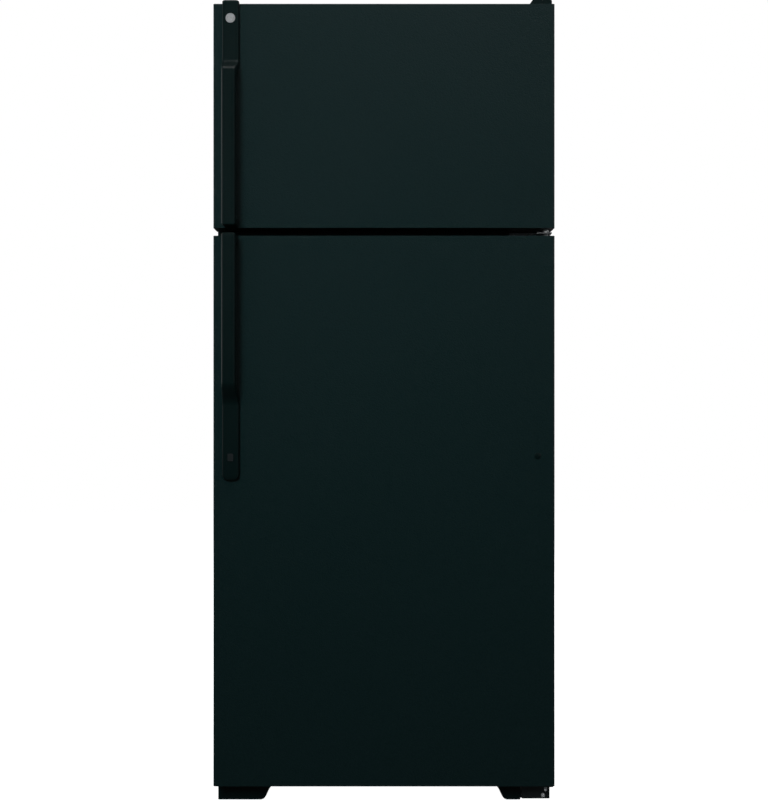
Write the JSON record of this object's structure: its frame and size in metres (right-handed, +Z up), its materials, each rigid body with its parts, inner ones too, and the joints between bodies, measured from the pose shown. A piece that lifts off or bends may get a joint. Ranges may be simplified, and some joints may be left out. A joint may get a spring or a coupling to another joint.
{
  "type": "top freezer refrigerator",
  "caption": "Black two-door refrigerator with the freezer above, doors hinged on the right, long moulded handles on the left.",
  "frame": {"origin": "on the floor, under the middle of the whole machine", "axes": "+X to the right seen from the front, the doors face -Y, +Z up"},
  "size_m": [0.7112, 0.7876, 1.695],
  "materials": {
    "black_steel": "satin",
    "zinc_steel": "satin",
    "black_plastic": "satin",
    "grey_plastic": "satin",
    "white_plastic": "gloss",
    "coated_wire": "gloss",
    "clear_plastic": "gloss",
    "shelf_glass": "gloss",
    "lamp_glass": "gloss",
    "gasket_vinyl": "matte",
    "foam": "matte",
    "badge_metal": "polished",
    "fin_aluminium": "satin",
    "fibre_board": "matte"
  },
  "bodies": {
    "cabinet": {"outer_case": "black_steel", "mullion_rail": "black_steel", "compressor": "black_steel", "condenser": "black_steel", "bottom_hinge": "black_steel", "back_panel": "zinc_steel", "base_frame": "zinc_steel", "machine_tray": "zinc_steel", "condenser_fan_motor": "zinc_steel", "evaporator_fan_motor": "zinc_steel", "top_hinge": "zinc_steel", "center_hinge": "zinc_steel", "base_grille": "black_plastic", "top_hinge_cover": "black_plastic", "freezer_liner": "white_plastic", "fresh_food_liner": "white_plastic", "evaporator_cover": "white_plastic", "control_housing": "white_plastic", "freezer_shelf": "coated_wire", "shelf_upper": "shelf_glass", "shelf_lower": "shelf_glass", "crisper_cover": "shelf_glass", "lamp": "lamp_glass", "cabinet_foam": "foam", "evaporator": "fin_aluminium", "rear_cover": "fibre_board"},
    "freezer_door": {"freezer_door_skin": "black_steel", "freezer_door_top_cap": "black_plastic", "freezer_door_bottom_cap": "black_plastic", "freezer_door_foam": "foam", "freezer_door_liner": "white_plastic", "freezer_door_gasket": "gasket_vinyl", "freezer_handle": "black_plastic", "handle_badge": "badge_metal", "freezer_bin_lower": "clear_plastic", "freezer_bin_upper": "clear_plastic"},
    "fresh_food_door": {"fresh_door_skin": "black_steel", "fresh_door_top_cap": "black_plastic", "fresh_door_bottom_cap": "black_plastic", "fresh_door_foam": "foam", "fresh_door_liner": "white_plastic", "fresh_door_gasket": "gasket_vinyl", "fresh_handle": "black_plastic", "handle_screw_cover": "grey_plastic", "hole_plug": "grey_plastic", "door_bin_lower": "clear_plastic", "door_bin_middle": "clear_plastic", "door_bin_upper": "clear_plastic"},
    "crisper_left": {"crisper_left": "clear_plastic"},
    "crisper_right": {"crisper_right": "clear_plastic"},
    "light_switch_plunger": {"light_switch_plunger": "white_plastic"},
    "dairy_cover": {"dairy_cover": "clear_plastic"},
    "condenser_fan": {"condenser_fan": "grey_plastic"},
    "evaporator_fan": {"evaporator_fan": "grey_plastic"},
    "fresh_food_knob": {"fresh_food_knob": "white_plastic"},
    "freezer_knob": {"freezer_knob": "white_plastic"},
    "leg_left": {"leg_left": "grey_plastic"},
    "leg_right": {"leg_right": "grey_plastic"},
    "rear_roller_left": {"rear_roller_left": "grey_plastic"},
    "rear_roller_right": {"rear_roller_right": "grey_plastic"}
  },
  "joints": [
    {"name": "freezer_door_hinge", "type": "hinge", "parent": "cabinet", "child": "freezer_door", "pos_m": [0.34, -0.318, 1.448], "axis": [0, 0, 1], "range_deg": [0, 130]},
    {"name": "fresh_food_door_hinge", "type": "hinge", "parent": "cabinet", "child": "fresh_food_door", "pos_m": [0.34, -0.318, 0.625], "axis": [0, 0, 1], "range_deg": [0, 130]},
    {"name": "crisper_left_slide", "type": "slide", "parent": "cabinet", "child": "crisper_left", "axis": [0, -1, 0], "range_m": [0, 0.2383]},
    {"name": "crisper_right_slide", "type": "slide", "parent": "cabinet", "child": "crisper_right", "axis": [0, -1, 0], "range_m": [0, 0.2383]},
    {"name": "light_switch_slide", "type": "slide", "parent": "cabinet", "child": "light_switch_plunger", "axis": [0, -1, 0], "range_m": [0, 0.008]},
    {"name": "dairy_cover_hinge", "type": "hinge", "parent": "fresh_food_door", "child": "dairy_cover", "pos_m": [0, -0.1942, 1.1025], "axis": [1, 0, 0], "range_deg": [0, 85]},
    {"name": "condenser_fan_spin", "type": "hinge", "parent": "cabinet", "child": "condenser_fan", "pos_m": [-0.1, 0.2938, 0.15], "axis": [1, 0, 0], "continuous": true},
    {"name": "evaporator_fan_spin", "type": "hinge", "parent": "cabinet", "child": "evaporator_fan", "pos_m": [0, 0.3023, 1.535], "axis": [0, 1, 0], "continuous": true},
    {"name": "fresh_food_knob_turn", "type": "hinge", "parent": "cabinet", "child": "fresh_food_knob", "pos_m": [-0.095, -0.201, 1.1495], "axis": [0, 1, 0], "range_deg": [0, 270]},
    {"name": "freezer_knob_turn", "type": "hinge", "parent": "cabinet", "child": "freezer_knob", "pos_m": [0.095, -0.201, 1.1495], "axis": [0, 1, 0], "range_deg": [0, 270]},
    {"name": "leg_left_turn", "type": "hinge", "parent": "cabinet", "child": "leg_left", "pos_m": [-0.3, -0.2482, 0.03], "axis": [0, 0, 1], "continuous": true},
    {"name": "leg_right_turn", "type": "hinge", "parent": "cabinet", "child": "leg_right", "pos_m": [0.3, -0.2482, 0.03], "axis": [0, 0, 1], "continuous": true},
    {"name": "rear_roller_left_spin", "type": "hinge", "parent": "cabinet", "child": "rear_roller_left", "pos_m": [-0.3, 0.3338, 0.02], "axis": [1, 0, 0], "continuous": true},
    {"name": "rear_roller_right_spin", "type": "hinge", "parent": "cabinet", "child": "rear_roller_right", "pos_m": [0.3, 0.3338, 0.02], "axis": [1, 0, 0], "continuous": true}
  ],
  "couplings": [
    {"joint": "crisper_left_slide", "follows": "fresh_food_door_hinge", "m_per_rad": 0.105},
    {"joint": "crisper_right_slide", "follows": "fresh_food_door_hinge", "m_per_rad": 0.105},
    {"joint": "light_switch_slide", "follows": "fresh_food_door_hinge", "m_per_rad": 0.0035}
  ]
}
